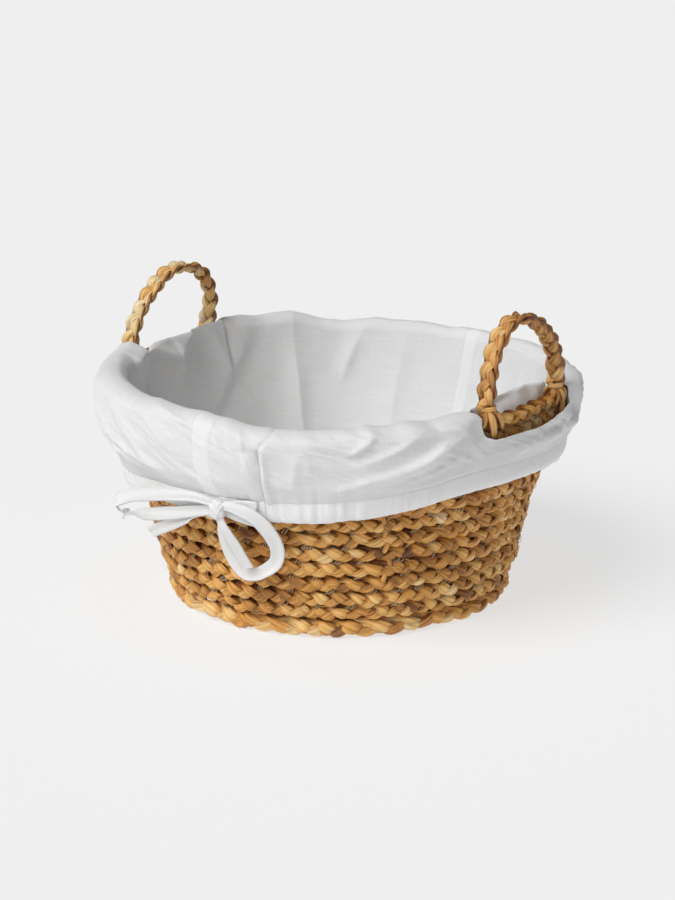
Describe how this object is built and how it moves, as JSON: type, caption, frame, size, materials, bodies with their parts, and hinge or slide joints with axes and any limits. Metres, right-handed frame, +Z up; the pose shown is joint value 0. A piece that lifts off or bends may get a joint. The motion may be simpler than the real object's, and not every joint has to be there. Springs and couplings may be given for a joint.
{
  "type": "woven laundry basket",
  "caption": "Round flared basket of plaited seagrass with arch handles and a removable fabric liner folded over the rim and tied with a drawstring bow.",
  "frame": {"origin": "on the floor under the middle of the basket", "axes": "+Z up; the handles stand over +X and -X; the liner's bow hangs on the -Y side"},
  "size_m": [0.4514, 0.4554, 0.2973],
  "materials": {
    "seagrass_braid": "dry plaited seagrass, semi-matte, golden brown with paler and darker blades",
    "seagrass_foot": "thicker plaited seagrass, semi-matte",
    "seagrass_handle": "plaited seagrass, slightly polished by hands",
    "liner_linen": "white cotton-linen plain weave with slubs, matte",
    "drawstring_tape": "white woven cotton tape, matte"
  },
  "bodies": {
    "basket": {"foot_ring_braid": "seagrass_foot", "floor_coil_braid": "seagrass_braid", "wall_braid_01": "seagrass_braid", "wall_braid_02": "seagrass_braid", "wall_braid_03": "seagrass_braid", "wall_braid_04": "seagrass_braid", "wall_braid_05": "seagrass_braid", "wall_braid_06": "seagrass_braid", "wall_braid_07": "seagrass_braid", "wall_braid_08": "seagrass_braid", "wall_braid_09": "seagrass_braid", "wall_braid_10": "seagrass_braid", "wall_braid_11": "seagrass_braid", "wall_braid_12": "seagrass_braid", "rim_braid": "seagrass_braid", "handle_right_tucked_end_front": "seagrass_handle", "handle_right_tucked_end_back": "seagrass_handle", "handle_left_tucked_end_front": "seagrass_handle", "handle_left_tucked_end_back": "seagrass_handle"},
    "handle_left": {"handle_left_braid": "seagrass_handle"},
    "handle_right": {"handle_right_braid": "seagrass_handle"},
    "liner": {"liner_floor": "liner_linen", "liner_side_right": "liner_linen", "liner_side_left": "liner_linen", "cuff_front_right": "liner_linen", "cuff_right_handle_flap": "liner_linen", "cuff_back_right": "liner_linen", "cuff_back_left": "liner_linen", "cuff_left_handle_flap": "liner_linen", "cuff_front_left": "liner_linen", "hem_casing": "liner_linen", "drawstring_run_in_casing": "drawstring_tape", "bow_knot": "drawstring_tape", "bow_loop_left": "drawstring_tape", "bow_tail_left": "drawstring_tape", "bow_loop_right": "drawstring_tape", "bow_tail_right": "drawstring_tape", "drawstring_lead_upper": "drawstring_tape", "drawstring_lead_lower": "drawstring_tape"}
  },
  "joints": [
    {"name": "liner_lift", "type": "slide", "parent": "basket", "child": "liner", "axis": [0, 0, 1], "range_m": [0, 0.31], "deforming": ["cuff_front_right", "cuff_right_handle_flap", "cuff_back_right", "cuff_back_left", "cuff_left_handle_flap", "cuff_front_left", "hem_casing", "drawstring_run_in_casing", "bow_knot", "bow_loop_left", "bow_tail_left", "bow_loop_right", "bow_tail_right", "drawstring_lead_upper", "drawstring_lead_lower"]},
    {"name": "handle_left_flex", "type": "hinge", "parent": "basket", "child": "handle_left", "pos_m": [-0.2045, -0.0115, 0.217], "axis": [0, 1, 0], "range_deg": [-12, 12], "stiffness_Nm_per_rad": 2.5},
    {"name": "handle_right_flex", "type": "hinge", "parent": "basket", "child": "handle_right", "pos_m": [0.2065, -0.0018, 0.217], "axis": [0, 1, 0], "range_deg": [-12, 12], "stiffness_Nm_per_rad": 2.5}
  ]
}
